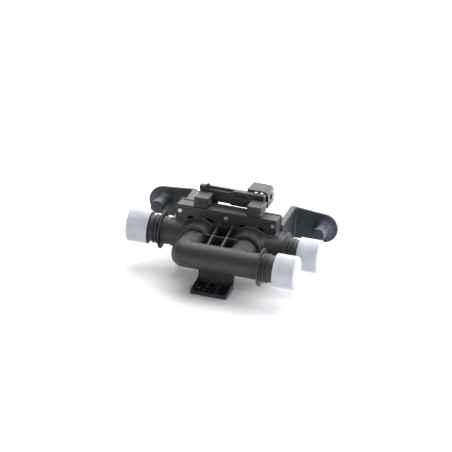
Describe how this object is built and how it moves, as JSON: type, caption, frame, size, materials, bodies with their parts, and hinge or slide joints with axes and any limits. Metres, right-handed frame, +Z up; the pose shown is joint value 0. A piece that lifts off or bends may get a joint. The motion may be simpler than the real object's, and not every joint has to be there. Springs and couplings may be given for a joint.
{
  "type": "coolant diverter valve",
  "caption": "Black moulded solenoid coolant diverter valve with capped hose ports, a connector socket, a lower clip and a mounting bracket with pegs.",
  "frame": {"origin": "middle of the underside of the lower clip's front bar, on the valve's mid plane", "axes": "+X along the ports towards the front port's end, +Y back towards the coils and the bracket ears, +Z up"},
  "size_m": [0.15, 0.1076, 0.0678],
  "materials": {
    "moulded_black": "fine moulded texture",
    "clip_black": "smooth, half gloss",
    "plated_steel": "satin",
    "enamelled_copper": "clear enamel over copper",
    "contact_brass": "bright",
    "seal_rubber": "smooth",
    "bobbin_nylon": "plain moulding",
    "milky_polythene": "translucent, soft sheen"
  },
  "bodies": {
    "valve": {"valve_body": "moulded_black", "manifold": "moulded_black", "coil_housing": "moulded_black", "mounting_bracket": "moulded_black", "terminal_cover_left": "moulded_black", "terminal_cover_right": "moulded_black", "wiring_bridge": "moulded_black", "connector_shroud": "moulded_black", "lower_clip": "clip_black", "block_screws": "plated_steel", "clip_screw": "plated_steel", "bridge_rivets": "plated_steel", "guide_tube_left": "plated_steel", "guide_tube_right": "plated_steel", "fixed_core_left": "plated_steel", "fixed_core_right": "plated_steel", "flux_plate_left": "plated_steel", "flux_plate_right": "plated_steel", "coil_yoke_left": "plated_steel", "coil_yoke_right": "plated_steel", "return_spring_left": "plated_steel", "return_spring_right": "plated_steel", "coil_winding_left": "enamelled_copper", "coil_winding_right": "enamelled_copper", "connector_pins": "contact_brass", "bus_bars": "contact_brass", "coil_terminals_left": "contact_brass", "coil_terminals_right": "contact_brass", "manifold_seal_left": "seal_rubber", "manifold_seal_right": "seal_rubber", "guide_seal_left": "seal_rubber", "guide_seal_right": "seal_rubber", "coil_bobbin_left": "bobbin_nylon", "coil_bobbin_right": "bobbin_nylon"},
    "plunger_left": {"armature_left": "plated_steel", "valve_disc_left": "seal_rubber"},
    "plunger_right": {"armature_right": "plated_steel", "valve_disc_right": "seal_rubber"},
    "cap_left_body": {"cap_left": "milky_polythene"},
    "cap_rear_right_body": {"cap_rear_right": "milky_polythene"},
    "cap_front_right_body": {"cap_front_right": "milky_polythene"}
  },
  "joints": [
    {"name": "plunger_left_stroke", "type": "slide", "parent": "valve", "child": "plunger_left", "axis": [0, -1, 0], "range_m": [0, 0.003], "stiffness_N_per_m": 600, "deforming": ["return_spring_left"]},
    {"name": "plunger_right_stroke", "type": "slide", "parent": "valve", "child": "plunger_right", "axis": [0, -1, 0], "range_m": [0, 0.003], "stiffness_N_per_m": 600, "deforming": ["return_spring_right"]},
    {"name": "cap_left_pull", "type": "slide", "parent": "valve", "child": "cap_left_body", "axis": [-1, 0, 0], "range_m": [0, 0.05]},
    {"name": "cap_rear_right_pull", "type": "slide", "parent": "valve", "child": "cap_rear_right_body", "axis": [1, 0, 0], "range_m": [0, 0.05]},
    {"name": "cap_front_right_pull", "type": "slide", "parent": "valve", "child": "cap_front_right_body", "axis": [1, 0, 0], "range_m": [0, 0.05]}
  ]
}
